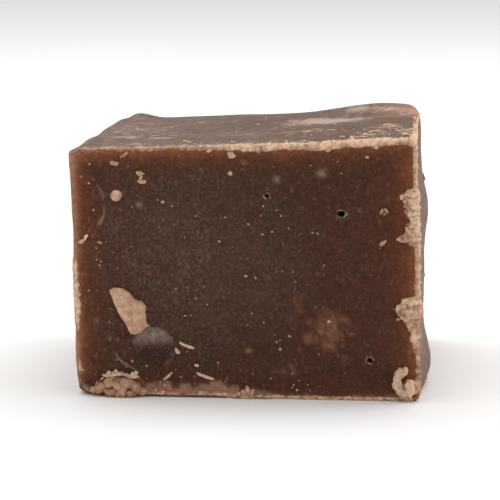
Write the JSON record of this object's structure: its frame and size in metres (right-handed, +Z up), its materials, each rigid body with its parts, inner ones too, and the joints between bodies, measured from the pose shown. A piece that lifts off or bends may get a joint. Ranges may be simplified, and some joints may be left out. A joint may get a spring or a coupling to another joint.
{
  "type": "chocolate fudge cube",
  "caption": "Knife-cut block of chocolate fudge with a flat underside, dry crumbly cut edges and a slightly uneven poured top.",
  "frame": {"origin": "middle of the flat underside that the block rests on", "axes": "+Z up out of the poured top, -Y out of the front cut face, +X to the right seen from the front"},
  "size_m": [0.0331, 0.0336, 0.0247],
  "materials": {
    "fudge": "waxy dark brown milk-chocolate fudge, dry and pale along its cut edges"
  },
  "bodies": {
    "root": {"fudge_cube": "fudge"}
  },
  "joints": []
}
